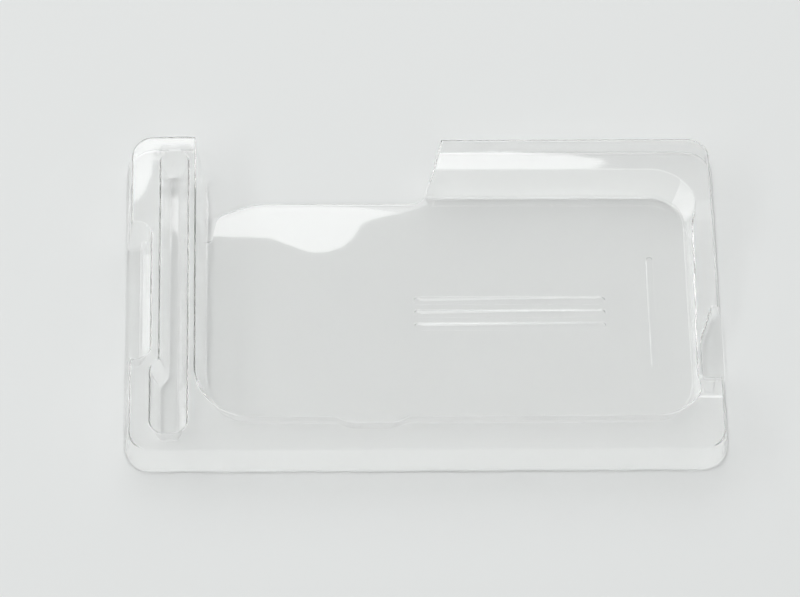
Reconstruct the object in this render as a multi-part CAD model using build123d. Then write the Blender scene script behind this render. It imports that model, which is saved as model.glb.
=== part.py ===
from build123d import *
from math import copysign, hypot, radians, tan
import os

# A clear blister tray formed from one plastic sheet. Millimetres, +Z up, open face up.
# The origin is the middle of the trimmed base, at the height of the underside.

# Overall sizes
LENGTH = 172.0
WIDTH = 105.4
HEIGHT = 11.1
SHEET = 0.45

# Outer skirt and the narrow flat edge that trimming leaves at its foot
TRIM_EDGE = 0.5
BASE_CORNER = 8.0
SKIRT_DRAFT = 7.0

# Pocket's edge at the rim, measured from the trimmed base edges, its corners, and the draft of its walls
POCKET_LEFT = 20.25
POCKET_RIGHT = 5.85
POCKET_FRONT = 12.55
POCKET_BACK = 13.45
POCKET_DRAFT = 16.5
CORNER_FRONT_LEFT = 16.2
CORNER_FRONT_RIGHT = 15.2
CORNER_BACK_RIGHT = 13.8

# Bump-out in the pocket's front wall
BUMP_MIDDLE = -15.5
BUMP_WIDTH = 12.7
BUMP_DEPTH = 1.9
BUMP_SLOPE = 4.3
BUMP_ROUND = 7.6
BUMP_BLEND = 1.5

# Open back of the pocket, between the left rim and the steeper side of the back right block
BLOCK_LEFT = 89.4
BLOCK_SLANT = 0.22
BLOCK_DRAFT = 8.5

# Cut that trims the floor at the open back: a ledge at the left wall, a rising flank and a straight edge
CUT_LIP = 0.1
CUT_EDGE = 2.1
CUT_DEPTH = 12.6
CUT_LEDGE = 1.3
CUT_FLANK_RUN = 1.7
CUT_FLANK_RISE = 8.5
CUT_SHOULDER_RUN = 11.1
CUT_ROUND = 4.0

# Flare of the cut, up the walls beside it to the back edge of the rim
FLARE_LENGTH = 9.4
FLARE_BACK = 3.0

# Channel in the left rim beside the pocket, with a wider front end that stops short of the finger notch
CHANNEL_LAND = 2.1
CHANNEL_WIDTH = 8.0
CHANNEL_WIDER = 2.5
CHANNEL_FRONT = 7.55
CHANNEL_BACK = 6.75
CHANNEL_STEP = 2.6
CHANNEL_STEP_RUN = 2.5
CHANNEL_STEP_ROUND = 1.6
CHANNEL_CORNER = 3.8
CHANNEL_DRAFT = 14.0
CHANNEL_FOOT = 0.4

# Finger notch in the left skirt, as deep as the channel allows
NOTCH_LAND = 2.5
NOTCH_LENGTH = 44.0
NOTCH_MIDDLE = 0.3
NOTCH_CORNER = 4.2
NOTCH_DRAFT = 15.6

# Stepped right rim: heights of its lowered stretches, and where they end, as parts of the pocket's depth
LEVEL_BACK = 6.0
LEVEL_FRONT = 5.0
LEVEL_RIDGE = 4.2
RAMP_TOP = 0.074
RAMP_FOOT = 0.191
RIDGE_FOOT = 0.399
RIDGE_TOP = 0.443
STEP_FOOT = 0.600
STEP_TOP = 0.619
SLOPE_FOOT = 0.814
SLOPE_TOP = 0.881
SLOPE_ROUND = 2.5
STEP_ROUND = 1.2

# Low recess in the right rim, behind a narrow ridge and open outward; its ends as parts of the pocket's depth
RIDGE_FLAT = 0.07
RECESS_FRONT = 0.180
RECESS_SLANT = 0.347
RECESS_BACK = 0.482
RECESS_SLANT_WIDTH = 4.1
RECESS_ROUND = 9.5
RECESS_CORNER = 2.3
RECESS_DRAFT = 8.0
RECESS_FOOT = 0.4

# Shallow stiffening beads pressed up in the pocket floor
BEAD_HEIGHT = 0.35
BEAD_DRAFT = 45.0
BEAD_WIDTH = 2.4
BEAD_LENGTH = 56.0
BEAD_COUNT = 3
BEAD_PITCH = 4.2
BEADS_RIGHT = 24.0
BEADS_FORWARD = 1.6
CROSS_LENGTH = 37.0
CROSS_RIGHT = 10.8

# Edge rounding
RIM_ROUND = 0.8
FLOOR_ROUND = 0.8
SKIRT_FOOT = 0.4

# Worked out
LEFT = -LENGTH / 2
RIGHT = LENGTH / 2
FRONT = -WIDTH / 2
BACK = WIDTH / 2
RISE = HEIGHT - SHEET
RIM_LEFT = LEFT + POCKET_LEFT
RIM_RIGHT = RIGHT - POCKET_RIGHT
RIM_FRONT = FRONT + POCKET_FRONT
RIM_BACK = BACK - POCKET_BACK
LEAN = RISE * tan(radians(POCKET_DRAFT))
BLOCK_LEAN = RISE * tan(radians(BLOCK_DRAFT)) * hypot(1, BLOCK_SLANT)
BEYOND = 12.0


def along(share):
    """Place along the right rim, given as a part of the pocket's depth from its front edge."""
    return RIM_FRONT + share * (RIM_BACK - RIM_FRONT)


def outline(corners, grow):
    """Plan outline from (x, y, radius) corners, counter-clockwise, with its sides moved outward by grow."""
    points, radii = [], []
    for i, (x, y, radius) in enumerate(corners):
        before, after = corners[i - 1], corners[(i + 1) % len(corners)]
        length_in, length_out = hypot(x - before[0], y - before[1]), hypot(after[0] - x, after[1] - y)
        ax, ay = (x - before[0]) / length_in, (y - before[1]) / length_in
        bx, by = (after[0] - x) / length_out, (after[1] - y) / length_out
        reach = grow / (1 + ax * bx + ay * by)
        points.append((x + reach * (ay + by), y - reach * (ax + bx)))
        radii.append(radius and radius + copysign(grow, ax * by - ay * bx))
    return make_face(FilletPolyline(*points, radius=radii, close=True))


def basin(corners, draft, gap):
    """Space above a recess, given its edge at the rim: tapered walls and an open top.

    With a gap, the space is that much larger all round, which leaves the sheet between the two.
    """
    rim = outline(corners, gap * tan(radians(45 - draft / 2)))
    tapered = mirror(extrude(rim, amount=RISE, taper=draft), about=Plane.XY)
    return Pos(0, 0, HEIGHT - gap) * (tapered + extrude(rim, amount=BEYOND))


def foot(space):
    """Edges of a recess's floor."""
    return space.faces().sort_by(Axis.Z)[0].edges()


def block_edge(y):
    """Place of the back right block's left edge at the rim, for a place along the tray."""
    return LEFT + BLOCK_LEFT + BLOCK_SLANT * (y - RIM_BACK)


def pocket(gap):
    """The main pocket, and the way out at its back between the left rim and the back right block."""
    far, near = BACK + BEYOND, RIM_BACK - 2 * LEAN
    middle = LEFT + BLOCK_LEFT - BEYOND
    bump_foot, bump_side = BUMP_WIDTH / 2, BUMP_WIDTH / 2 + BUMP_SLOPE
    space = basin([
        (RIM_LEFT, RIM_FRONT, CORNER_FRONT_LEFT),
        (BUMP_MIDDLE - bump_side, RIM_FRONT, BUMP_BLEND),
        (BUMP_MIDDLE - bump_foot, RIM_FRONT - BUMP_DEPTH, BUMP_ROUND),
        (BUMP_MIDDLE + bump_foot, RIM_FRONT - BUMP_DEPTH, BUMP_ROUND),
        (BUMP_MIDDLE + bump_side, RIM_FRONT, BUMP_BLEND),
        (RIM_RIGHT, RIM_FRONT, CORNER_FRONT_RIGHT),
        (RIM_RIGHT, RIM_BACK, CORNER_BACK_RIGHT),
        (middle, RIM_BACK, 0),
        (middle, far, 0),
        (RIM_LEFT, far, 0),
    ], POCKET_DRAFT, gap)
    space += basin([
        (middle - BEYOND, near, 0),
        (block_edge(near), near, 0),
        (block_edge(far), far, 0),
        (middle - BEYOND, far, 0),
    ], BLOCK_DRAFT, gap)
    return space if gap else fillet(foot(space), FLOOR_ROUND)


def notch(gap):
    """The finger notch in the left skirt."""
    x = RIM_LEFT - CHANNEL_LAND - CHANNEL_WIDTH - NOTCH_LAND
    low, high = NOTCH_MIDDLE - NOTCH_LENGTH / 2, NOTCH_MIDDLE + NOTCH_LENGTH / 2
    space = basin([
        (LEFT - BEYOND, low, 0),
        (x, low, NOTCH_CORNER),
        (x, high, NOTCH_CORNER),
        (LEFT - BEYOND, high, 0),
    ], NOTCH_DRAFT, gap)
    return space if gap else fillet(foot(space), FLOOR_ROUND)


def channel(gap):
    """The narrow channel in the left rim, wider at its front end."""
    right = RIM_LEFT - CHANNEL_LAND
    left, wide = right - CHANNEL_WIDTH, right - CHANNEL_WIDTH - CHANNEL_WIDER
    front, back = FRONT + CHANNEL_FRONT, BACK - CHANNEL_BACK
    step = NOTCH_MIDDLE - NOTCH_LENGTH / 2 - CHANNEL_STEP
    space = basin([
        (wide, front, CHANNEL_CORNER),
        (right, front, CHANNEL_CORNER),
        (right, back, CHANNEL_CORNER),
        (left, back, CHANNEL_CORNER),
        (left, step + CHANNEL_STEP_RUN, CHANNEL_STEP_ROUND),
        (wide, step, CHANNEL_CORNER),
    ], CHANNEL_DRAFT, gap)
    return space if gap else chamfer(foot(space), CHANNEL_FOOT)


def side_recess(gap):
    """The low recess in the right rim, with a slanted back corner and open to the outside."""
    x = RIM_RIGHT + RIDGE_FLAT
    for draft in (POCKET_DRAFT, RECESS_DRAFT):
        x += RIM_ROUND * tan(radians(45 - draft / 2)) - (HEIGHT - LEVEL_RIDGE) * tan(radians(draft))
    space = basin([
        (x, along(RECESS_FRONT), RECESS_CORNER),
        (RIGHT + BEYOND, along(RECESS_FRONT), 0),
        (RIGHT + BEYOND, along(RECESS_BACK), 0),
        (x + RECESS_SLANT_WIDTH, along(RECESS_BACK), 0),
        (x, along(RECESS_SLANT), RECESS_ROUND),
    ], RECESS_DRAFT, gap)
    return space if gap else chamfer(foot(space), RECESS_FOOT)


def rim_steps(gap):
    """Space above the right rim, which drops in steps between the back corner and the front block."""
    top = HEIGHT + BEYOND
    profile = outline([
        (along(RAMP_TOP) - SLOPE_ROUND, top, 0),
        (along(RAMP_TOP) - SLOPE_ROUND, HEIGHT, 0),
        (along(RAMP_TOP), HEIGHT, SLOPE_ROUND),
        (along(RAMP_FOOT), LEVEL_RIDGE, SLOPE_ROUND),
        (along(RIDGE_FOOT), LEVEL_RIDGE, SLOPE_ROUND),
        (along(RIDGE_TOP), LEVEL_FRONT, SLOPE_ROUND),
        (along(STEP_FOOT), LEVEL_FRONT, STEP_ROUND),
        (along(STEP_TOP), LEVEL_BACK, STEP_ROUND),
        (along(SLOPE_FOOT), LEVEL_BACK, SLOPE_ROUND),
        (along(SLOPE_TOP), HEIGHT, SLOPE_ROUND),
        (along(SLOPE_TOP) + SLOPE_ROUND, HEIGHT, 0),
        (along(SLOPE_TOP) + SLOPE_ROUND, top, 0),
    ], gap)
    return extrude(Plane.YZ.offset(RIM_RIGHT - 2 * LEAN) * profile, amount=BEYOND * 2)


def skirt_block(gap):
    """The block that the skirt encloses, standing on a slab."""
    inset = TRIM_EDGE + gap * tan(radians(45 - SKIRT_DRAFT / 2))
    base = Pos(0, 0, SHEET - gap) * RectangleRounded(LENGTH - 2 * inset, WIDTH - 2 * inset, BASE_CORNER - inset)
    slab = Pos(0, 0, SHEET - gap) * Box(LENGTH + 4 * BEYOND, WIDTH + 4 * BEYOND, BEYOND,
                                        align=(Align.CENTER, Align.CENTER, Align.MAX))
    joined = slab + extrude(base, amount=RISE, taper=SKIRT_DRAFT)
    foot_edges = [e for e in joined.edges() if e.is_interior and on_level(e, SHEET)]
    return joined if gap else chamfer(foot_edges, SKIRT_FOOT)


def on_level(edge, z):
    """Whether an edge lies flat at height z."""
    box = edge.bounding_box()
    return abs(box.min.Z - z) < 0.01 and abs(box.max.Z - z) < 0.01


def rounded_rim(body):
    """Round the top edges of the rim, its lowered stretches included."""
    roof = [f for f in body.faces() if f.center().Z > 2 * SHEET and f.normal_at().Z > 0.5]
    edges = [e for f in roof for e in f.edges()]
    return fillet([e for e in edges if sum(e.is_same(other) for other in edges) == 1], RIM_ROUND)


def floor_beads(gap):
    """Shallow raised beads that stiffen the pocket floor: some along it and one across it."""
    inset = 2 * gap * tan(radians(45 - BEAD_DRAFT / 2))
    right, middle = RIM_RIGHT - LEAN, (RIM_FRONT + RIM_BACK) / 2 - BEADS_FORWARD
    lengthwise = SlotOverall(BEAD_LENGTH - inset, BEAD_WIDTH - inset)
    crosswise = Rot(0, 0, 90) * SlotOverall(CROSS_LENGTH - inset, BEAD_WIDTH - inset)
    rows = [middle + BEAD_PITCH * (i - (BEAD_COUNT - 1) / 2) for i in range(BEAD_COUNT)]
    beads = [Pos(right - BEADS_RIGHT - BEAD_LENGTH / 2, y) * lengthwise for y in rows]
    beads.append(Pos(right - CROSS_RIGHT, middle) * crosswise)
    return [extrude(Pos(0, 0, SHEET - gap) * bead, amount=BEAD_HEIGHT, taper=BEAD_DRAFT) for bead in beads]


def skin(gap):
    """Solid below the tray's upper skin, or with a gap of one sheet below its lower skin."""
    body = skirt_block(gap) - pocket(gap) - channel(gap) - notch(gap) - rim_steps(gap) - side_recess(gap)
    return (body if gap else rounded_rim(body)) + floor_beads(gap)


def trim_outline():
    """Plan outline of the cut that frees the tray: a rounded rectangle with an open back."""
    far, rim_back = BACK + BEYOND, BACK - FLARE_BACK
    flare = rim_back - FLARE_LENGTH
    left, right = RIM_LEFT + LEAN + CUT_LIP, -BLOCK_LEAN - CUT_LIP
    edge = RIM_BACK - LEAN - CUT_EDGE
    ledge = edge - CUT_DEPTH
    flank = left + CUT_LEDGE + CUT_FLANK_RUN
    opening = outline([
        (left, ledge, 0),
        (left + CUT_LEDGE, ledge, CUT_ROUND / 4),
        (flank, ledge + CUT_FLANK_RISE, CUT_ROUND),
        (flank + CUT_SHOULDER_RUN, edge, CUT_ROUND * 3),
        (block_edge(edge) + right, edge, CUT_ROUND),
        (block_edge(flare) + right, flare, 0),
        (block_edge(rim_back) + CUT_LIP, rim_back, 0),
        (block_edge(rim_back) + CUT_LIP, far, 0),
        (RIM_LEFT - CUT_LIP, far, 0),
        (RIM_LEFT - CUT_LIP, rim_back, 0),
        (left, flare, 0),
    ], 0)
    return RectangleRounded(LENGTH, WIDTH, BASE_CORNER) - opening


def blister_tray():
    """The formed sheet, trimmed to its outline."""
    sheet = skin(0) - skin(SHEET)
    return sheet & extrude(trim_outline(), amount=HEIGHT + BEYOND)


os.makedirs("parts", exist_ok=True)
tray = blister_tray()
export_step(tray, "parts/blister_tray.step")
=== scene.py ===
from math import cos, exp, pi, radians, sin, tan

import bmesh
import bpy
from mathutils import Matrix, Vector


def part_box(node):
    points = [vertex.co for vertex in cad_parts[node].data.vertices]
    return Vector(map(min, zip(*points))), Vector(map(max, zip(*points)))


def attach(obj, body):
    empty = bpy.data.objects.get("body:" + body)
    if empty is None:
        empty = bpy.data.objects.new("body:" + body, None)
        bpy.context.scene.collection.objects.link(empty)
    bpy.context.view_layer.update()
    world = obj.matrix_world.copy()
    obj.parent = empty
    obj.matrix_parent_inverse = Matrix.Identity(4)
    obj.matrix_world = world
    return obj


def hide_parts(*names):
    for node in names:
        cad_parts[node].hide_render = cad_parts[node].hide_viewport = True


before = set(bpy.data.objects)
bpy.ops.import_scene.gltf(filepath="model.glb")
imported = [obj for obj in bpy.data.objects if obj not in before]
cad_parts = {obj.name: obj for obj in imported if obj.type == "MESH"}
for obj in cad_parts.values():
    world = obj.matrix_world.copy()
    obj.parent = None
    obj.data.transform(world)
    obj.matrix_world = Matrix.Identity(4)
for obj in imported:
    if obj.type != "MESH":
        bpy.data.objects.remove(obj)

scene = bpy.context.scene
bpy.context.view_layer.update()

# Camera at the photograph's viewing angle, in metres and millimetres of lens
CAMERA_PLACE = (-0.047855, -0.559282, 1.060252)
CAMERA_RIGHT = (0.99940534, -0.01907864, 0.02872227)
CAMERA_UP = (0.00339722, 0.8834081, 0.46859213)
CAMERA_LENS = 186.7
CAMERA_SENSOR = 36
CAMERA_NEAR, CAMERA_FAR = 0.05, 20

# Fine cuts across the sheet, and how close two points or a cut and a point may lie
CUT_STEP = 0.002
SAME_POINT, ON_CUT = 1e-6, 1e-7

# The sharpest fold that is shaded smooth, and the turn along a side that gets it bent, this many times over
FOLD = cos(radians(50))
BEND, BEND_ROUNDS = radians(14), 2
MM2_PER_M2 = 1e6

# Where the sheet sags or bulges: middle, widths, depth, and the heights between which it fades in
RIM, FLOOR = (0.004, 0.0105), (0.003, 0.0005)
SAGS = [
    ((-0.0855, 0.0541), (0.0042, 0.0173), -0.0005, RIM),
    ((-0.0688, 0.0562), (0.0190, 0.0030), -0.0005, RIM),
    ((0.0169, 0.0474), (0.0388, 0.0106), -0.00036, RIM),
    ((-0.0458, 0.0192), (0.0340, 0.0132), 0.0004, FLOOR),
    ((-0.0330, 0.0376), (0.0261, 0.0040), -0.00039, FLOOR),
    ((-0.0292, 0.0117), (0.0097, 0.0120), 0.0004, FLOOR),
]

# The back right rim's outer edge stands in by this much. The lean grows between these two places on Y.
DRAWN_IN, DRAWN_FROM, DRAWN_TO = 0.0010, 0.041, 0.050
OPEN_BACK_X = -0.03

# Clear plastic: a sheet that bends light little and has a glossy face
SHEET_COLOUR, SHEET_IOR = (0.998, 0.998, 0.996, 1), 1.14
GLOSS_IOR, GLOSS_ROUGHNESS = 1.56, 0.03
STREAK_SCALES, STREAK_DETAIL = (160, 900, 160), 3
STREAK_NOISE, STREAK_ROUGHNESS = (0.35, 0.75), (0.02, 0.09)
WAVE_SCALE, GRAIN_SCALE, RIPPLE_DETAIL = 55, 900, 2
GRAIN_SHARE, RIPPLE_STRENGTH, RIPPLE_HEIGHT = 0.03, 0.05, 0.0004

# Table
TABLE_HALF, TABLE_DROP = 1.6, 0.0003
TABLE_COLOUR, TABLE_ROUGHNESS, TABLE_GLOSS = (0.785, 0.80, 0.79, 1), 0.9, 0.1

# The room's colour by height: at the horizon, on the upper walls and overhead
HORIZON = (0.0, (0.74, 0.745, 0.745, 1))
UPPER_WALL = (0.45, (0.68, 0.685, 0.69, 1))
OVERHEAD = (0.86, (0.36, 0.36, 0.365, 1))

# Lamps: name, azimuth, lowest and highest elevation, spread, all in degrees, and radiance
LAMP_DISTANCE = 5
LAMPS = [
    ("back_box", -9, 22, 59.5, 64, 2.2),
    ("left_box", -85, 29, 41, 60, 4.2),
]
LIGHT_BOUNCES, GLOSSY_BOUNCES = 24, 12


def link(obj):
    scene.collection.objects.link(obj)
    return obj


def camera():
    data = bpy.data.cameras.new("camera")
    data.lens = CAMERA_LENS
    data.sensor_width = CAMERA_SENSOR
    data.clip_start, data.clip_end = CAMERA_NEAR, CAMERA_FAR
    obj = link(bpy.data.objects.new("camera", data))
    right, up = Vector(CAMERA_RIGHT), Vector(CAMERA_UP)
    back = right.cross(up)
    turn = Matrix((right, up, back)).transposed()
    obj.matrix_world = Matrix.Translation(CAMERA_PLACE) @ turn.to_4x4()
    scene.camera = obj


def nodes_of(material):
    material.use_nodes = True
    tree = material.node_tree
    tree.nodes.clear()
    return tree.nodes, tree.links


def node(nodes, kind, **values):
    """A new node with these inputs. An input's name has its spaces as underscores."""
    made = nodes.new(kind)
    for name, value in values.items():
        made.inputs[name.replace("_", " ")].default_value = value
    return made


def clear_plastic():
    """Clear sheet, with faint streaks in its gloss and a slight ripple."""
    material = bpy.data.materials.new("clear_plastic")
    nodes, links = nodes_of(material)
    out = node(nodes, "ShaderNodeOutputMaterial")
    shader = node(nodes, "ShaderNodeBsdfPrincipled", Base_Color=SHEET_COLOUR, Transmission_Weight=1,
                  IOR=SHEET_IOR, Coat_Weight=1, Coat_IOR=GLOSS_IOR, Coat_Roughness=GLOSS_ROUGHNESS)
    place = node(nodes, "ShaderNodeTexCoord")
    streaks = node(nodes, "ShaderNodeMapping", Scale=STREAK_SCALES)
    fine = node(nodes, "ShaderNodeTexNoise", Scale=1, Detail=STREAK_DETAIL)
    gloss = node(nodes, "ShaderNodeMapRange", From_Min=STREAK_NOISE[0], From_Max=STREAK_NOISE[1],
                 To_Min=STREAK_ROUGHNESS[0], To_Max=STREAK_ROUGHNESS[1])
    waves = node(nodes, "ShaderNodeTexNoise", Scale=WAVE_SCALE, Detail=RIPPLE_DETAIL)
    grain = node(nodes, "ShaderNodeTexNoise", Scale=GRAIN_SCALE, Detail=RIPPLE_DETAIL)
    both = nodes.new("ShaderNodeMath")
    both.operation = "MULTIPLY_ADD"
    both.inputs[1].default_value = GRAIN_SHARE
    bump = node(nodes, "ShaderNodeBump", Strength=RIPPLE_STRENGTH, Distance=RIPPLE_HEIGHT)
    links.new(place.outputs["Object"], streaks.inputs["Vector"])
    links.new(streaks.outputs["Vector"], fine.inputs["Vector"])
    links.new(fine.outputs["Fac"], gloss.inputs["Value"])
    links.new(gloss.outputs["Result"], shader.inputs["Roughness"])
    links.new(place.outputs["Object"], waves.inputs["Vector"])
    links.new(place.outputs["Object"], grain.inputs["Vector"])
    links.new(grain.outputs["Fac"], both.inputs[0])
    links.new(waves.outputs["Fac"], both.inputs[2])
    links.new(both.outputs[0], bump.inputs["Height"])
    links.new(bump.outputs["Normal"], shader.inputs["Normal"])
    links.new(bump.outputs["Normal"], shader.inputs["Coat Normal"])
    links.new(shader.outputs["BSDF"], out.inputs["Surface"])
    return material


def table_top():
    """Plain pale table, matt."""
    material = bpy.data.materials.new("pale_table")
    nodes, links = nodes_of(material)
    out = node(nodes, "ShaderNodeOutputMaterial")
    shader = node(nodes, "ShaderNodeBsdfPrincipled", Base_Color=TABLE_COLOUR, Roughness=TABLE_ROUGHNESS,
                  Specular_IOR_Level=TABLE_GLOSS)
    links.new(shader.outputs["BSDF"], out.inputs["Surface"])
    return material


def cad_surface():
    """The CAD's surface in one piece. Each face knows the area of the whole surface it belongs to."""
    mesh = bmesh.new()
    mesh.from_mesh(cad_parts["blister_tray"].data)
    area = mesh.faces.layers.float.new("area")
    seen = set()
    for first in mesh.faces:
        if first in seen:
            continue
        seen.add(first)
        patch = [first]
        for face in patch:
            for near in (f for edge in face.edges for f in edge.link_faces if f not in seen):
                seen.add(near)
                patch.append(near)
        total = sum(face.calc_area() for face in patch)
        for face in patch:
            face[area] = total * MM2_PER_M2
    bmesh.ops.remove_doubles(mesh, verts=mesh.verts, dist=SAME_POINT)
    mesh.normal_update()
    return mesh


def sheet_mesh(points, faces):
    """A mesh of (corners, area) faces. The area is that of the whole surface a face belongs to."""
    mesh = bmesh.new()
    area = mesh.faces.layers.float.new("area")
    verts = [mesh.verts.new(point) for point in points]
    for corners, whole in faces:
        mesh.faces.new([verts[i] for i in corners])[area] = whole
    mesh.normal_update()
    return mesh


def cut_triangle(corners, middles):
    """Parts of a triangle with a new point on some of its sides. Side i runs from corner i to the next."""
    parts, ring = [], []
    for i, corner in enumerate(corners):
        before, after = middles[i - 1], middles[i]
        if before is not None and after is not None:
            parts.append([before, corner, after])
        else:
            ring.append(corner)
        if after is not None:
            ring.append(after)
    start = next((i for i, point in enumerate(ring) if point in middles), 0)
    ring = ring[start:] + ring[:start]
    return parts + [[ring[0], ring[i], ring[i + 1]] for i in range(1, len(ring) - 1)]


def round_bends(mesh):
    """The surface with each rounding's flat strips bent: every side that turns gets a lifted middle."""
    area = mesh.faces.layers.float["area"]
    mesh.verts.index_update()
    points = [v.co.copy() for v in mesh.verts]
    middles = {}
    for edge in mesh.edges:
        if edge.is_boundary or cos(edge.calc_face_angle(0)) < FOLD:
            continue
        start, end = edge.link_loops[0], edge.link_loops[0].link_loop_next
        from_way, to_way = facing(start, area), facing(end, area)
        if from_way.angle(to_way, 0) > BEND:
            run = end.vert.co - start.vert.co
            lift = (to_way * run.dot(to_way) - from_way * run.dot(from_way)) / 8
            middles[edge] = len(points)
            points.append((start.vert.co + end.vert.co) / 2 + lift)
    faces = []
    for face in mesh.faces:
        corners = [loop.vert.index for loop in face.loops]
        parts = cut_triangle(corners, [middles.get(loop.edge) for loop in face.loops])
        faces += [(part, face[area]) for part in parts]
    mesh.free()
    return sheet_mesh(points, faces)


def cut_fine(mesh):
    """Cut the surface on a square grid, so that it can sag and ripple."""
    low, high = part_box("blister_tray")
    for axis in (0, 1):
        normal = Vector((axis == 0, axis == 1, 0))
        place = low[axis] + CUT_STEP
        while place < high[axis]:
            whole = mesh.verts[:] + mesh.edges[:] + mesh.faces[:]
            bmesh.ops.bisect_plane(mesh, geom=whole, dist=ON_CUT, plane_co=normal * place, plane_no=normal)
            place += CUT_STEP
    bmesh.ops.triangulate(mesh, faces=mesh.faces[:])


def sag(x, y, z):
    """How far the sheet lies off its drawn height at a place, in metres."""
    drop = 0.0
    for (cx, cy), (wx, wy), depth, (fades, full) in SAGS:
        part = min(max((z - fades) / (full - fades), 0), 1)
        drop += part * depth * exp(-((x - cx) / wx) ** 2 - ((y - cy) / wy) ** 2)
    return drop


def drawn_in(x, y):
    """How far the back right rim leans towards the pocket at a place, in metres."""
    part = min(max((y - DRAWN_FROM) / (DRAWN_TO - DRAWN_FROM), 0), 1)
    return DRAWN_IN * part * part * (3 - 2 * part) if x > OPEN_BACK_X else 0.0


def facing(corner, area):
    """The surface's direction at a face's corner. Wide surfaces count most, and a sharp fold starts anew."""
    total = Vector()
    for other in corner.vert.link_loops:
        if other.face.normal.dot(corner.face.normal) > FOLD:
            total += other.face.normal * (other.calc_angle() * other.face[area] ** 2)
    return total.normalized()


def formed_sheet():
    """The tray's sheet: the CAD's surface with truly round bends, cut fine and sagging a little."""
    mesh = cad_surface()
    for _ in range(BEND_ROUNDS):
        mesh = round_bends(mesh)
    cut_fine(mesh)
    low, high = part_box("blister_tray")
    for v in mesh.verts:
        x, y, z = v.co
        v.co = (x, y - drawn_in(x, y), z + sag(x, y, z))
        v.co = [min(max(c, a), b) for c, a, b in zip(v.co, low, high)]
    mesh.normal_update()
    area = mesh.faces.layers.float["area"]
    ways = [facing(loop, area) for face in mesh.faces for loop in face.loops]
    data = bpy.data.meshes.new("tray_sheet")
    mesh.to_mesh(data)
    mesh.free()
    data.shade_smooth()
    data.normals_split_custom_set(ways)
    data.materials.clear()
    data.materials.append(clear_plastic())
    obj = link(bpy.data.objects.new("tray_sheet", data))
    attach(obj, "root")
    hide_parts("blister_tray")


def floor():
    data = bpy.data.meshes.new("table")
    corners = [(x * TABLE_HALF, y * TABLE_HALF, 0) for x, y in ((-1, -1), (1, -1), (1, 1), (-1, 1))]
    data.from_pydata(corners, [], [(0, 1, 2, 3)])
    obj = link(bpy.data.objects.new("table", data))
    obj.location.z = -TABLE_DROP
    data.materials.append(table_top())


def softbox(name, azimuth, low, high, spread, radiance):
    """Lamp facing the object, between two elevations. Azimuth 0 is at the back, 90 at the right."""
    data = bpy.data.lights.new(name, "AREA")
    data.shape = "RECTANGLE"
    data.size = 2 * LAMP_DISTANCE * tan(radians(spread / 2))
    data.size_y = 2 * LAMP_DISTANCE * tan(radians((high - low) / 2))
    data.energy = radiance * pi * data.size * data.size_y
    obj = link(bpy.data.objects.new(name, data))
    a, e = radians(azimuth), radians((low + high) / 2)
    way = Vector((sin(a) * cos(e), cos(a) * cos(e), sin(e)))
    obj.location = way * LAMP_DISTANCE
    obj.rotation_mode = "QUATERNION"
    obj.rotation_quaternion = way.to_track_quat("Z", "Y")


def room():
    """Pale walls that darken towards the ceiling."""
    world = bpy.data.worlds.new("room")
    scene.world = world
    nodes, links = nodes_of(world)
    out = node(nodes, "ShaderNodeOutputWorld")
    shader = node(nodes, "ShaderNodeBackground")
    place = node(nodes, "ShaderNodeTexCoord")
    split = node(nodes, "ShaderNodeSeparateXYZ")
    ramp = node(nodes, "ShaderNodeValToRGB")
    stops = ramp.color_ramp.elements
    stops[0].position, stops[0].color = HORIZON
    stops[1].position, stops[1].color = OVERHEAD
    stops.new(UPPER_WALL[0]).color = UPPER_WALL[1]
    links.new(place.outputs["Generated"], split.inputs["Vector"])
    links.new(split.outputs["Z"], ramp.inputs["Fac"])
    links.new(ramp.outputs["Color"], shader.inputs["Color"])
    links.new(shader.outputs["Background"], out.inputs["Surface"])


camera()
floor()
formed_sheet()
room()
for lamp in LAMPS:
    softbox(*lamp)
scene.view_settings.view_transform = "Standard"
scene.cycles.blur_glossy = 0
scene.cycles.max_bounces = LIGHT_BOUNCES
scene.cycles.transmission_bounces = LIGHT_BOUNCES
scene.cycles.glossy_bounces = GLOSSY_BOUNCES
